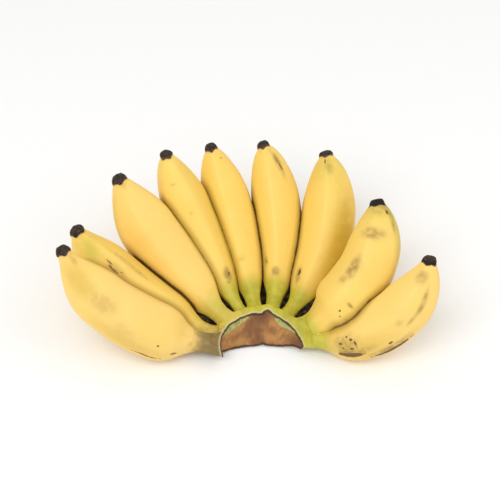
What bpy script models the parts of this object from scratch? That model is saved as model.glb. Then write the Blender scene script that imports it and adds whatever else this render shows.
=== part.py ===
"""A hand of ten short, plump bananas, cut from its bunch and lying on its bellies with the tips turned up.

The crown is a curved pad that wrapped half round the stalk. Its hollow face, where the hand was cut off,
looks toward -Y and up, and the fingers fan out from its other side. The hand grew as one piece, so the crown
and the fingers are joined into one solid.
"""

import math
from collections import namedtuple

import bmesh
import bpy
import numpy as np
from mathutils import Matrix, Vector

MM = 0.001
NODE = "banana_hand"

# The roots of the fingers stand on half an oval, seen from above.
ROOT_HALF_WIDTH = 30 * MM
ROOT_REACH = 33 * MM
ROOT_HEIGHT = 8 * MM

# The crown is swept round the same middle. Each rail is half an oval: its half width, its reach toward +Y and
# its height, in millimetres. Toward its two ends the crown thins, and on the right its top dips.
CROWN_RAILS = (
    (26.0, 25.0, 14.0),
    (31.5, 33.0, 16.5),
    (36.0, 37.5, 15.5),
    (38.0, 39.5, 9.0),
    (36.5, 37.0, 3.0),
    (32.0, 22.0, 1.0),
    (26.0, 6.0, 1.5),
)
CROWN_TOP_RAILS = 3
CROWN_STEPS = 28
CROWN_SWEEP = math.radians(82)
CROWN_THINS_FROM = math.radians(55)
CROWN_END_THICKNESS = 0.25
CROWN_DIP = 6.0
# A small tongue of skin stands up from the rim of the cut.
TONGUE_PLACE = math.radians(8)
TONGUE_WIDTH = math.radians(6)
TONGUE_HEIGHT = 2.5

# The cut that took the hand off its stalk: the second and third rails lie on the face that it left.
CUT_RAILS = ((2.0, 2.0, -8.0), (29.5, 5.3, -2.2), (29.5, 52.8, 30.8), (2.0, 2.0, 60.0))
CUT_STEPS = 40
CUT_SWEEP = math.radians(115)

# A finger's cross-section has five rounded ridges.
RIDGES = 5
SIDES_PER_RIDGE = 3
FLATNESS = 0.42
RIDGE_ROUNDING = math.radians(7)

# Rings of points along a finger, as shares of its length: even along the body, close together at the tip.
BODY_START = -0.05
BODY_RINGS = 22
BODY_END = 0.915
TIP_RINGS = (0.94, 0.96, 0.972, 0.986, 0.996, 1.0)

# A finger's girth along its length, as (share of the length, share of the full girth). The first two run from
# the neck on, for a slender and for a plump finger. The other two are what the tip takes off, for a blunt and
# for a pointed one. The tip ends in the dried stub of the flower.
SLENDER = ((0.0, 0.38), (0.07, 0.31), (0.13, 0.33), (0.19, 0.44), (0.26, 0.59), (0.34, 0.74), (0.44, 0.87))
SLENDER += ((0.56, 0.97), (0.66, 1.0), (1.0, 1.0))
PLUMP = ((0.0, 0.42), (0.07, 0.37), (0.13, 0.40), (0.18, 0.58), (0.23, 0.83), (0.29, 0.97), (0.38, 1.0))
PLUMP += ((0.56, 1.0), (1.0, 1.0))
BLUNT = ((0.0, 0.0), (0.66, 0.0), (0.76, 0.02), (0.85, 0.13), (0.91, 0.28), (0.95, 0.52), (0.965, 0.68))
BLUNT += ((0.975, 0.735), (0.986, 0.75), (0.995, 0.80), (1.0, 0.90))
POINTED = ((0.0, 0.0), (0.60, 0.0), (0.72, 0.07), (0.80, 0.22), (0.87, 0.42), (0.93, 0.62), (0.96, 0.715))
POINTED += ((0.986, 0.75), (0.995, 0.80), (1.0, 0.90))

# Angles are in degrees and sizes in millimetres. root is the place on the crown and heading the way that the
# finger sets out, both measured from +Y toward +X. rise is its slope there, and bend is how far it turns up
# by the tip, in one arc. lean tips the plane of that arc to the right. roll turns the ridges, and lift raises
# the root on the crown. plump and point choose between the girths above, and neck scales the neck's girth.
Finger = namedtuple("Finger", "root heading rise bend lean length width depth roll lift plump point neck")
FINGERS = (
    Finger(-86, -86, 1, 72, 6, 147, 41, 42, 10, 4, 1.0, 1.25, 1.0),
    Finger(-66, -71, -4, 75, 0, 144, 45, 41, 0, 0, 0.6, 1.0, 0.8),
    Finger(-47, -42, 0, 77, -11, 147, 46, 42, -20, 2, 0.4, 0.9, 0.95),
    Finger(-24, -28, 0, 78, -8, 147, 38, 41, 12, 0, 0.2, 0.7, 0.75),
    Finger(-8, -9, -5, 80, -13, 145, 38, 41, 0, 0, 0.25, 0.6, 0.93),
    Finger(10, 14, -4, 80, -23, 145, 37, 41, 18, -1, 0.25, 0.45, 0.93),
    Finger(28, 37, -4, 80, -28, 144, 44, 41, 30, 0, 0.3, 0.6, 0.83),
    Finger(65, 77, 16, 80, -53, 120, 43, 42, 0, 6, 1.2, 0.7, 1.1),
    Finger(71, 100, -5, 94, -20, 128, 38.2, 40, 0, 3, 0.7, 0.9, 1.0),
    Finger(48, 66, 0, 74, -28, 114, 36, 38, 0, 0, 0.5, 0.5, 0.9),
)

# The middle of the crown, from the point on the surface under the middle of the hand, which is the origin.
CROWN_MIDDLE = (9.20 * MM, -68.50 * MM, 0.0)
# The bellies are flat where they press on the surface, at z = 0. The block below it is this wide and deep.
SURFACE_SIZE = 0.6
SURFACE_DEPTH = 0.05


def clear_scene():
    for obj in list(bpy.data.objects):
        bpy.data.objects.remove(obj, do_unlink=True)


def smooth_curve(stations, where):
    """Values of a smooth curve through the (place, value) stations, at the places asked for."""
    x = np.array([place for place, _ in stations])
    y = np.array([value for _, value in stations])
    slope = np.gradient(y, x)
    i = np.clip(np.searchsorted(x, where, side="right") - 1, 0, len(x) - 2)
    span = x[i + 1] - x[i]
    u = (where - x[i]) / span
    start = y[i] * (1 + 2 * u) * (1 - u) ** 2 + slope[i] * span * u * (1 - u) ** 2
    end = y[i + 1] * u**2 * (3 - 2 * u) + slope[i + 1] * span * u**2 * (u - 1)
    return start + end


def smooth_step(low, high, value):
    u = np.clip((value - low) / (high - low), 0.0, 1.0)
    return u * u * (3 - 2 * u)


def girth(finger, t):
    t = np.maximum(t, 0.0)
    neck = (1 - finger.plump) * smooth_curve(SLENDER, t) + finger.plump * smooth_curve(PLUMP, t)
    tip = (1 - finger.point) * smooth_curve(BLUNT, t) + finger.point * smooth_curve(POINTED, t)
    narrowed = 1 - (1 - finger.neck) * (1 - smooth_step(0.1, 0.3, t))
    return (neck - tip) * narrowed


def centreline(finger, t):
    """Points along a finger's middle, with the directions to its right and to its inner, hollow side."""
    heading = math.radians(finger.heading)
    rise = math.radians(finger.rise)
    lean = math.radians(finger.lean)
    root = math.radians(finger.root)
    out = np.array([math.sin(heading) * math.cos(rise), math.cos(heading) * math.cos(rise), math.sin(rise)])
    right = np.array([math.cos(heading), -math.sin(heading), 0.0])
    up = math.cos(lean) * np.cross(right, out) + math.sin(lean) * right
    side = np.cross(out, up)
    height = ROOT_HEIGHT + finger.lift * MM
    start = np.array([ROOT_HALF_WIDTH * math.sin(root), ROOT_REACH * math.cos(root), height])
    turned = math.radians(finger.bend) * t
    radius = finger.length * MM / math.radians(finger.bend)
    points = start + radius * (np.outer(np.sin(turned), out) + np.outer(1 - np.cos(turned), up))
    inner = np.outer(np.cos(turned), up) - np.outer(np.sin(turned), out)
    return points, side, inner


def ridged_radius(angle):
    """The radius of the five-ridged section at an angle from a ridge, as a share of the ridge's radius."""
    half_face = math.pi / RIDGES
    from_ridge = np.abs((angle + half_face) % (2 * half_face) - half_face)
    from_ridge = np.sqrt(from_ridge**2 + RIDGE_ROUNDING**2) - RIDGE_ROUNDING
    polygon = math.cos(half_face) / np.cos(half_face - from_ridge)
    return 1 - FLATNESS * (1 - polygon)


def loft(name, rings):
    """A closed object through rings of points, each ring a closed loop, with flat ends."""
    mesh = bmesh.new()
    loops = [[mesh.verts.new(point) for point in ring] for ring in rings]
    count = len(loops[0])
    for loop, following in zip(loops, loops[1:]):
        for j in range(count):
            n = (j + 1) % count
            mesh.faces.new((loop[j], loop[n], following[n], following[j]))
    mesh.faces.new(loops[0])
    mesh.faces.new(loops[-1])
    bmesh.ops.recalc_face_normals(mesh, faces=mesh.faces)
    data = bpy.data.meshes.new(name)
    mesh.to_mesh(data)
    mesh.free()
    return bpy.data.objects.new(name, data)


def make_finger(name, finger):
    t = np.concatenate([np.linspace(BODY_START, BODY_END, BODY_RINGS), TIP_RINGS])
    points, side, inner = centreline(finger, t)
    size = girth(finger, t)
    angle = np.linspace(0.0, 2 * math.pi, RIDGES * SIDES_PER_RIDGE, endpoint=False)
    radius = ridged_radius(angle)
    angle = angle + math.radians(finger.roll)
    across = radius * np.sin(angle) * finger.width * MM / 2
    deep = radius * np.cos(angle) * finger.depth * MM / 2
    rings = [
        point + share * (np.outer(across, side) + np.outer(deep, up))
        for point, share, up in zip(points, size, inner)
    ]
    return loft(name, rings)


def rail_point(half_width, reach, height, angle):
    return Vector((half_width * math.sin(angle), reach * math.cos(angle), height)) * MM


def make_crown(name):
    inner_width = CROWN_RAILS[0][0]
    rings = []
    for angle in np.linspace(-CROWN_SWEEP, CROWN_SWEEP, CROWN_STEPS):
        tongue = math.exp(-(((angle - TONGUE_PLACE) / TONGUE_WIDTH) ** 2))
        toward_end = max(0.0, (abs(angle) - CROWN_THINS_FROM) / (CROWN_SWEEP - CROWN_THINS_FROM))
        thick = 1 - (1 - CROWN_END_THICKNESS) * toward_end**2
        rise = TONGUE_HEIGHT * tongue - CROWN_DIP * max(0.0, math.sin(angle)) ** 2
        ring = []
        for k, (half_width, reach, height) in enumerate(CROWN_RAILS):
            half_width = inner_width + (half_width - inner_width) * thick
            if k < CROWN_TOP_RAILS:
                height += rise
            ring.append(rail_point(half_width, reach, height, angle))
        rings.append(ring)
    return loft(name, rings)


def stalk_cutter():
    """The stalk's side of the cut."""
    angles = np.linspace(-CUT_SWEEP, CUT_SWEEP, CUT_STEPS)
    return loft("stalk_cutter", [[rail_point(*rail, angle) for rail in CUT_RAILS] for angle in angles])


def floor_cutter():
    """A block whose top is the surface that the hand lies on."""
    bpy.ops.mesh.primitive_cube_add(size=1.0)
    block = bpy.context.object
    block.name = "floor_cutter"
    block.dimensions = (SURFACE_SIZE, SURFACE_SIZE, SURFACE_DEPTH)
    block.location = (0.0, 0.0, -SURFACE_DEPTH / 2)
    bpy.ops.object.transform_apply(location=True, scale=True)
    for collection in list(block.users_collection):
        collection.objects.unlink(block)
    return block


def apply_boolean(target, operation, collection):
    join = target.modifiers.new("join", "BOOLEAN")
    join.operation = operation
    join.operand_type = "COLLECTION"
    join.collection = collection
    join.solver = "EXACT"
    graph = bpy.context.evaluated_depsgraph_get()
    done = bpy.data.meshes.new_from_object(target.evaluated_get(graph))
    target.modifiers.clear()
    target.data = done
    for obj in list(collection.objects):
        bpy.data.objects.remove(obj, do_unlink=True)


def skin_material():
    material = bpy.data.materials.new("banana_skin")
    material.use_nodes = True
    surface = material.node_tree.nodes["Principled BSDF"]
    surface.inputs["Base Color"].default_value = (0.93, 0.66, 0.13, 1.0)
    surface.inputs["Roughness"].default_value = 0.45
    surface.inputs["Metallic"].default_value = 0.0
    return material


def main():
    clear_scene()
    hand = bpy.data.collections.new("banana_hand")
    fingers = bpy.data.collections.new("fingers")
    cutters = bpy.data.collections.new("cutters")
    for collection in (hand, fingers, cutters):
        bpy.context.scene.collection.children.link(collection)
    crown = make_crown(NODE)
    hand.objects.link(crown)
    for number, finger in enumerate(FINGERS, start=1):
        fingers.objects.link(make_finger(f"finger_{number}", finger))
    apply_boolean(crown, "UNION", fingers)
    cutters.objects.link(stalk_cutter())
    apply_boolean(crown, "DIFFERENCE", cutters)
    cutters.objects.link(floor_cutter())
    apply_boolean(crown, "DIFFERENCE", cutters)
    crown.data.transform(Matrix.Translation(CROWN_MIDDLE))
    crown.data.materials.append(skin_material())
    crown.data.shade_smooth()
    crown.data.set_sharp_from_angle(angle=math.radians(40))


if __name__ == "__main__":
    main()
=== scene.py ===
"""The skin, tips, crown and cut of a hand of ten short, plump, yellow bananas that lies on its bellies.

Each finger is lofted along one arc, with five rounded ridges. The crown and the starts of the necks are grown
together into one skin, which is then cut from the stalk. What lies where on the skin is painted into its
points: how close the next finger lies, which sets the painted shade there, how green or grey the neck is, and
each bruise, spot, unripe patch and patch of painted shade on a shaded side. The materials read those values.
Nearly black sheets in the gaps between the necks stand for the deep shade there.
"""

import math
from collections import namedtuple

import bmesh
import bpy
import numpy as np
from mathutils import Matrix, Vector, noise
from mathutils.bvhtree import BVHTree
from mathutils.kdtree import KDTree


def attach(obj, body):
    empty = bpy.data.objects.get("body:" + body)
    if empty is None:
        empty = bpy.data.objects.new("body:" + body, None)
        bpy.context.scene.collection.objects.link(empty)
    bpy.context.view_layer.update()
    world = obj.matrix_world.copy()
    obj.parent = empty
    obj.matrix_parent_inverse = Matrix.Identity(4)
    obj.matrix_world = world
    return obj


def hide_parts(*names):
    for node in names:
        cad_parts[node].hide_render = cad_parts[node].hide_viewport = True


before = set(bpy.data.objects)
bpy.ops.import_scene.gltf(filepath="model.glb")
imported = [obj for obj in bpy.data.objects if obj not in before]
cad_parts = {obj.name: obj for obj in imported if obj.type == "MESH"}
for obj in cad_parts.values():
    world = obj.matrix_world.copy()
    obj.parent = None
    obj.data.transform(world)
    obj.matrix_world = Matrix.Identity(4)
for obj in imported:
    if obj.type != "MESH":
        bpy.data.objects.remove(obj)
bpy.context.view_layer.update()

bl_info = {
    "name": "Banana Hand",
    "version": (1, 0, 0),
    "blender": (4, 5, 0),
    "location": "View3D > Sidebar > Bananas",
    "description": "Builds a hand of short, plump, yellow bananas round its solid frame",
    "category": "Add Mesh",
}

MM = 0.001
NODE = "banana_hand"
BODY = "root"

# The roots of the fingers stand on half an oval, seen from above. Its middle is the crown's middle.
CROWN_MIDDLE = np.array([9.33, -68.50, 0.0]) * MM
ROOT_HALF_WIDTH = 30 * MM
ROOT_REACH = 33 * MM
ROOT_HEIGHT = 8 * MM

# The crown is swept round the same middle. Each rail is half an oval: its half width, its reach toward +Y and
# its height, in millimetres. Toward its two ends the crown thins, and on the right its top dips.
CROWN_RAILS = (
    (26.0, 25.0, 14.0),
    (31.5, 33.0, 16.5),
    (36.0, 37.5, 15.5),
    (38.0, 39.5, 9.0),
    (36.5, 37.0, 3.0),
    (32.0, 22.0, 1.0),
    (26.0, 6.0, 1.5),
)
CROWN_TOP_RAILS = 3
CROWN_STEPS = 60
CROWN_SWEEP = math.radians(82)
CROWN_THINS_FROM = math.radians(55)
CROWN_END_THICKNESS = 0.25
CROWN_DIP = 6.0
# A small tongue of skin stands up from the rim of the cut.
TONGUE_PLACE = math.radians(8)
TONGUE_WIDTH = math.radians(6)
TONGUE_HEIGHT = 2.5

# The cut runs between these two rails, and its cutter is closed by one rail below it and one above. Its
# relief leans down by the slant, and the face as a whole looks forward and up.
CUT_LOW_RAIL = (29.5, 5.3, -2.2)
CUT_HIGH_RAIL = (29.5, 52.8, 30.8)
CUTTER_BELOW = (2.0, 2.0, -8.0)
CUTTER_ABOVE = (2.0, 2.0, 60.0)
CUT_SWEEP = math.radians(115)
CUT_SLANT = -0.6
CUT_FACING = np.array([0.0, -0.57, 0.82])

# A finger's cross-section has five rounded ridges. They are sharpest near the tip.
RIDGES = 5
FLATNESS = 0.42
RIDGE_ROUNDING = math.radians(7)
TIP_ROUNDING = math.radians(4)
# As shares of a finger's length: where it grows out of the crown, where its skin begins inside the neck,
# where the skin reaches its full girth, where its rings stand closer, where it ends inside the dried tip and
# where the crown's own neck ends inside it. The skin begins thinner by the last share, its tuck.
FINGER_START = -0.05
SKIN_START = 0.065
SKIN_FULL = 0.10
SKIN_CLOSER = 0.9
SKIN_END = 0.992
NECK_END = 0.15
SKIN_TUCK = 0.12

# A finger's girth along its length, as (share of the length, share of the full girth). The first two run from
# the neck on, for a slender and for a plump finger. The other two are what the tip takes off, for a blunt and
# for a pointed one.
SLENDER = ((0.0, 0.38), (0.07, 0.31), (0.13, 0.33), (0.19, 0.44), (0.26, 0.59), (0.34, 0.74), (0.44, 0.87))
SLENDER += ((0.56, 0.97), (0.66, 1.0), (1.0, 1.0))
PLUMP = ((0.0, 0.42), (0.07, 0.37), (0.13, 0.40), (0.18, 0.58), (0.23, 0.83), (0.29, 0.97), (0.38, 1.0))
PLUMP += ((0.56, 1.0), (1.0, 1.0))
BLUNT = ((0.0, 0.0), (0.66, 0.0), (0.76, 0.02), (0.85, 0.13), (0.91, 0.28), (0.95, 0.52), (0.965, 0.68))
BLUNT += ((0.975, 0.735), (0.986, 0.75), (0.995, 0.80), (1.0, 0.90))
POINTED = ((0.0, 0.0), (0.60, 0.0), (0.72, 0.07), (0.80, 0.22), (0.87, 0.42), (0.93, 0.62), (0.96, 0.715))
POINTED += ((0.986, 0.75), (0.995, 0.80), (1.0, 0.90))

# Angles are in degrees and sizes in millimetres. root is the place on the crown and heading the way that the
# finger sets out, both measured from +Y toward +X. rise is its slope there, and bend is how far it turns up
# by the tip, in one arc. lean tips the plane of that arc to the right. roll turns the ridges, and lift raises
# the root on the crown. plump and point choose between the girths above, and neck scales the neck's girth.
Finger = namedtuple("Finger", "root heading rise bend lean length width depth roll lift plump point neck")
FINGERS = (
    Finger(-86, -86, 1, 72, 6, 147, 41, 42, 10, 4, 1.0, 1.25, 1.0),
    Finger(-66, -71, -4, 75, 0, 144, 45, 41, 0, 0, 0.6, 1.0, 0.8),
    Finger(-47, -42, 0, 77, -11, 147, 46, 42, -20, 2, 0.4, 0.9, 0.95),
    Finger(-24, -28, 0, 78, -8, 147, 38, 41, 12, 0, 0.2, 0.7, 0.75),
    Finger(-8, -9, -5, 80, -13, 145, 38, 41, 0, 0, 0.25, 0.6, 0.93),
    Finger(10, 14, -4, 80, -23, 145, 37, 41, 18, -1, 0.25, 0.45, 0.93),
    Finger(28, 37, -4, 80, -28, 144, 44, 41, 30, 0, 0.3, 0.6, 0.83),
    Finger(65, 77, 16, 80, -53, 120, 43, 42, 0, 6, 1.2, 0.7, 1.1),
    Finger(71, 100, -5, 94, -20, 128, 38.2, 40, 0, 3, 0.7, 0.9, 1.0),
    Finger(48, 66, 0, 74, -28, 114, 36, 38, 0, 0, 0.5, 0.5, 0.9),
)

# How a finger's skin differs from its neighbours': how pale it is, how green its tip and its neck are, where
# that green ends as a share of the length, how grey-brown the neck is and how many mm of its end are black.
Skin = namedtuple("Skin", "pale green_tip green_neck green_end grey_neck black_end")
SKINS = (
    Skin(0.9, 0.0, 0.15, 0.24, 0.9, 3.0),
    Skin(0.3, 0.25, 0.45, 0.24, 0.45, 3.2),
    Skin(0.7, 0.0, 0.65, 0.24, 0.2, 2.8),
    Skin(0.3, 0.05, 0.9, 0.26, 0.0, 2.8),
    Skin(0.25, 0.12, 1.0, 0.26, 0.0, 3.0),
    Skin(0.3, 0.05, 1.0, 0.27, 0.0, 3.0),
    Skin(0.35, 0.3, 1.0, 0.25, 0.0, 2.6),
    Skin(0.45, 0.3, 0.95, 0.16, 0.0, 5.0),
    Skin(0.75, 0.05, 0.95, 0.22, 0.0, 4.0),
    Skin(0.5, 0.1, 1.0, 0.2, 0.0, 3.0),
)

# A black end fades out over this share of the length. The dried tip on a black end of PLAIN_END mm is
# stub_length long, and the others are longer or shorter with theirs.
TIP_FADE = 0.007
PLAIN_END = 3.0
# A neck's green fades out from before to just past green_end, and its grey over these shares of the length.
GREEN_FADE = (-0.12, 0.02)
GREY_FADE = (0.06, 0.2)
# The dried tips end at this share of the length. Their girth, a share of the full girth, narrows toward a low
# and lumpy dome.
STUB_END = 0.994
STUB_WIDTH = 0.258
STUB_NARROWS = 0.04
STUB_DOME = 1.0 * MM
STUB_LUMPS = 0.3 * MM

# How dark the painted crevice shade and browning from rubbing between two fingers is, for the pairs that
# differ from the rest and for the rest. It starts over these shares of the length, and shows where the other
# finger is nearer than its reach.
CREVICES = {(2, 3): 1.0, (8, 9): 0.82, (9, 10): 0.9, (8, 10): 0.8, (5, 6): 0.85, (6, 7): 0.85, (1, 2): 0.7}
PLAIN_CREVICE = 0.75
CREVICE_STARTS = (0.1, 0.19)
CREVICE_REACH = 7 * MM
# The rim's colours are painted by the distance from it in mm, and this is far enough to have none.
FAR_FROM_RIM = 100.0
# The pairs of necks whose gap a nearly black sheet of painted shade fills.
SHADED_GAPS = ((1, 2), (2, 3), (3, 4), (4, 5), (5, 6), (6, 7), (7, 8), (7, 10), (8, 9))

# Near the cut the necks sink into the crown. The rim is an arch of this radius round the crown's middle. Its
# upper edge stands this high. It is higher at the far left and falls away to the right, over these degrees
# from +Y toward +X.
RIM_RADIUS = 30 * MM
RIM_HEIGHT = 14.8 * MM
RIM_LEFT_RISE = 0.9 * MM
RIM_LEFT_ARC = (-40, -80)
RIM_RIGHT_DROP = 5.5 * MM
RIM_RIGHT_ARC = (10, 100)
# Its lower edge lies on the surface, but it has a low swell near the middle and lifts off at the far right.
RIM_SWELL = 1.7 * MM
RIM_SWELL_PLACE = 7
RIM_SWELL_WIDTH = 24
RIM_LIFT = 5.6 * MM
RIM_LIFT_ARC = (35, 95)
# The tongue of skin where it stands on the rim, in degrees and mm: narrower than on the crown.
RIM_TONGUE_WIDTH = 8.0
RIM_TONGUE_HEIGHT = 0.9
# How steeply the two edges part outside the rim, at first and further out, and how softly they press.
RIM_SLOPE = 0.3
RIM_GENTLE = 6 * MM
RIM_STEEPER = 1.2
RIM_SOFTNESS = 0.5 * MM
# A point is pressed short of its full way by this share, so that the skin doesn't fold onto itself. Points
# further behind the crown's middle than this aren't pressed.
RIM_KEPT = 0.03
RIM_BACK = -4 * MM

# Places on the cut face are measured round an oval of this half width and reach. It has two green slivers of
# fresh flesh: their middles and half widths in degrees, and their thickness in mm.
CUT_OVAL = (29.5, 33.0)
SLIVERS = ((-50.0, 32.0, 5.6), (40.0, 24.0, 6.2))

# Marks on the skin, by finger and kind. along is a share of the finger's length. around is in degrees from
# the finger's hollow side, toward the right of a finger that points away. length runs along the finger and
# width across it, in mm. The deep marks are painted shade: darker ochre on the sides of the fingers that lie
# in shade or in the shadow of the next finger.
Mark = namedtuple("Mark", "along around length width strength")
MARK_KINDS = ("bruise", "spot", "unripe", "speckle", "deep")
MARKS = {
    (1, "spot"): ((0.31, -78, 2.5, 2.5, 0.75), (0.22, -98, 4.5, 2.5, 0.8), (0.34, -118, 24, 1.6, 0.9)),
    (1, "bruise"): ((0.68, -60, 26, 13, 0.35), (0.50, -78, 24, 12, 0.2), (0.93, -30, 8, 4, 0.4)),
    (1, "deep"): ((0.84, -72, 30, 18, 0.55), (0.45, -105, 60, 14, 0.5)),
    (2, "spot"): ((0.78, -20, 9, 1.3, 0.75), (0.73, -26, 13, 1.6, 0.9), (0.68, -18, 8, 1.2, 0.65)),
    (2, "bruise"): ((0.73, -22, 24, 8, 0.5), (0.66, 8, 44, 5, 0.5)),
    (2, "unripe"): ((0.86, -36, 26, 13, 0.45),),
    (3, "deep"): ((0.72, -92, 60, 10, 0.5),),
    (3, "bruise"): ((0.96, -10, 6, 6, 0.25),),
    (4, "bruise"): ((0.245, 20, 11, 8, 0.85), (0.85, -24, 2, 4.5, 0.7), (0.66, -6, 3, 2.5, 0.3)),
    (4, "spot"): ((0.245, 24, 3.5, 2.2, 0.65), (0.205, 12, 2.5, 3, 0.6)),
    (5, "bruise"): ((0.33, 0, 7, 6, 0.35),),
    (5, "spot"): ((0.93, 40, 2, 1.6, 0.55),),
    (6, "bruise"): ((0.88, 64, 20, 4.5, 0.9), (0.32, -18, 12, 4.5, 0.75), (0.25, 18, 7, 6, 0.85)),
    (6, "spot"): ((0.87, 66, 10, 1.4, 0.65), (0.31, -16, 3, 1.6, 0.55)),
    (7, "spot"): ((0.275, 0, 7, 3, 0.7), (0.955, 26, 5, 1.6, 0.6)),
    (7, "bruise"): ((0.26, -2, 14, 6, 0.8), (0.93, 45, 12, 7, 0.45)),
    (7, "unripe"): ((0.86, 40, 34, 30, 0.12),),
    (7, "deep"): ((0.52, 80, 84, 22, 1),),
    (8, "bruise"): ((0.78, 80, 9, 19, 0.8), (0.53, 66, 20, 10, 0.85), (0.43, 60, 8, 7, 0.55),
                    (0.94, 105, 10, 20, 0.5), (0.87, 136, 16, 3.5, 0.8), (0.331, 104, 2.4, 7, 0.9)),
    (8, "spot"): ((0.912, 126, 3.5, 2.2, 0.85), (0.268, 98, 2, 2, 0.65), (0.248, 108, 1.8, 2.2, 0.65),
                  (0.262, 122, 1.8, 1.8, 0.65)),
    (8, "speckle"): ((0.25, 110, 14, 20, 1),),
    (8, "unripe"): ((0.80, 152, 44, 16, 0.45), (0.91, 110, 18, 40, 0.12)),
    (8, "deep"): ((0.62, 158, 60, 12, 0.7),),
    (9, "speckle"): ((0.28, 76, 24, 24, 1),),
    (9, "bruise"): ((0.28, 80, 20, 18, 0.6), (0.27, 66, 3, 4, 0.9), (0.26, 98, 4, 5, 0.9),
                    (0.30, 106, 26, 7, 0.8), (0.47, 130, 34, 6, 0.8), (0.78, 108, 18, 4, 0.9),
                    (0.68, 106, 12, 3, 0.6), (0.90, 72, 10, 9, 0.6), (0.62, 88, 6, 5, 0.3)),
    (9, "spot"): ((0.31, 70, 3, 2.2, 0.75), (0.33, 84, 2, 7, 0.7), (0.24, 78, 3, 2.4, 0.7),
                  (0.30, 94, 5, 2, 0.75), (0.25, 90, 2.2, 2.2, 0.7), (0.29, 62, 2, 1.8, 0.7),
                  (0.28, 117, 18, 5, 1), (0.48, 137, 30, 2.8, 1), (0.50, 116, 5, 2, 0.75)),
    (9, "deep"): ((0.35, 100, 50, 20, 0.5),),
}


def smooth_curve(stations, where):
    """Values of a smooth curve through the (place, value) stations, at the places asked for."""
    x = np.array([place for place, _ in stations])
    y = np.array([value for _, value in stations])
    slope = np.gradient(y, x)
    i = np.clip(np.searchsorted(x, where, side="right") - 1, 0, len(x) - 2)
    span = x[i + 1] - x[i]
    u = (where - x[i]) / span
    start = y[i] * (1 + 2 * u) * (1 - u) ** 2 + slope[i] * span * u * (1 - u) ** 2
    end = y[i + 1] * u**2 * (3 - 2 * u) + slope[i + 1] * span * u**2 * (u - 1)
    return start + end


def smooth_step(low, high, value):
    u = np.clip((value - low) / (high - low), 0.0, 1.0)
    return u * u * (3 - 2 * u)


def girth(finger, t):
    t = np.clip(t, 0.0, 1.0)
    neck = (1 - finger.plump) * smooth_curve(SLENDER, t) + finger.plump * smooth_curve(PLUMP, t)
    tip = (1 - finger.point) * smooth_curve(BLUNT, t) + finger.point * smooth_curve(POINTED, t)
    narrowed = 1 - (1 - finger.neck) * (1 - smooth_step(0.1, 0.3, t))
    return (neck - tip) * narrowed


def centreline(finger, t):
    """Points along a finger's middle, with the directions to its right and to its inner, hollow side."""
    heading = math.radians(finger.heading)
    rise = math.radians(finger.rise)
    lean = math.radians(finger.lean)
    root = math.radians(finger.root)
    out = np.array([math.sin(heading) * math.cos(rise), math.cos(heading) * math.cos(rise), math.sin(rise)])
    right = np.array([math.cos(heading), -math.sin(heading), 0.0])
    up = math.cos(lean) * np.cross(right, out) + math.sin(lean) * right
    side = np.cross(out, up)
    height = ROOT_HEIGHT + finger.lift * MM
    start = np.array([ROOT_HALF_WIDTH * math.sin(root), ROOT_REACH * math.cos(root), height])
    turned = math.radians(finger.bend) * t
    radius = finger.length * MM / math.radians(finger.bend)
    points = start + radius * (np.outer(np.sin(turned), out) + np.outer(1 - np.cos(turned), up))
    inner = np.outer(np.cos(turned), up) - np.outer(np.sin(turned), out)
    return points + CROWN_MIDDLE, side, inner


def ridged_radius(angle, rounding):
    """The radius of the five-ridged section at an angle from a ridge, as a share of the ridge's radius."""
    half_face = math.pi / RIDGES
    from_ridge = np.abs((angle + half_face) % (2 * half_face) - half_face)
    from_ridge = np.sqrt(from_ridge**2 + rounding**2) - rounding
    polygon = math.cos(half_face) / np.cos(half_face - from_ridge)
    return 1 - FLATNESS * (1 - polygon)


def finger_rings(finger, t, angle, swell=1.0):
    """A grid of points, one ring for each place along the finger, and how near each is to a ridge."""
    points, side, inner = centreline(finger, t)
    rounding = RIDGE_ROUNDING + (TIP_ROUNDING - RIDGE_ROUNDING) * smooth_step(0.5, 0.9, t)
    turn = angle - math.radians(finger.roll)
    radius = ridged_radius(turn[None, :], rounding[:, None])
    size = (girth(finger, t) * swell)[:, None] * radius
    across = size * np.sin(angle) * finger.width * MM / 2
    deep = size * np.cos(angle) * finger.depth * MM / 2
    rings = points[:, None, :] + across[..., None] * side + deep[..., None] * inner[:, None, :]
    crest = np.cos(RIDGES * turn) * 0.5 + 0.5
    return rings, np.broadcast_to(crest, across.shape)


def noise_at(points, scale, seed=0.0):
    """Smooth noise from -1 to 1 at each point, with details about 1/scale metres across."""
    shift = Vector((seed, 1.7 * seed, -2.3 * seed))
    return np.array([noise.noise(Vector(p) * scale + shift) for p in points])


def mesh_object(name, vertices, faces, materials=()):
    mesh = bpy.data.meshes.new(name)
    mesh.from_pydata(vertices, [], faces)
    mesh.update()
    for material in materials:
        mesh.materials.append(material)
    mesh.shade_smooth()
    obj = bpy.data.objects.new(name, mesh)
    bpy.context.scene.collection.objects.link(obj)
    return obj


def tube_faces(rings, sides):
    """Quads between each ring of points and the next, for points stored ring by ring."""
    faces = []
    for i in range(rings - 1):
        for j in range(sides):
            n = (j + 1) % sides
            faces.append((i * sides + j, i * sides + n, (i + 1) * sides + n, (i + 1) * sides + j))
    return faces


def capped_tube(name, rings, materials=()):
    """A closed object through a grid of points, each end closed by a fan of triangles."""
    count, sides = rings.shape[:2]
    points = rings.reshape(-1, 3)
    ends = [rings[0].mean(0), rings[-1].mean(0)]
    faces = tube_faces(count, sides)
    first, last = count * sides, count * sides + 1
    for j in range(sides):
        n = (j + 1) % sides
        faces.append((n, j, first))
        faces.append(((count - 1) * sides + j, (count - 1) * sides + n, last))
    return mesh_object(name, np.vstack([points, ends]).tolist(), faces, materials)


def paint(obj, name, values):
    """Stores one number for each of an object's points."""
    data = obj.data.attributes.new(name, "FLOAT", "POINT").data
    data.foreach_set("value", np.asarray(values, np.float32))


def points_of(obj):
    points = np.empty(len(obj.data.vertices) * 3)
    obj.data.vertices.foreach_get("co", points)
    return points.reshape(-1, 3)


def dress(obj):
    """Makes an object one of the pieces that stand for the solid hand."""
    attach(obj, BODY)
    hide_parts(NODE)


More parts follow.
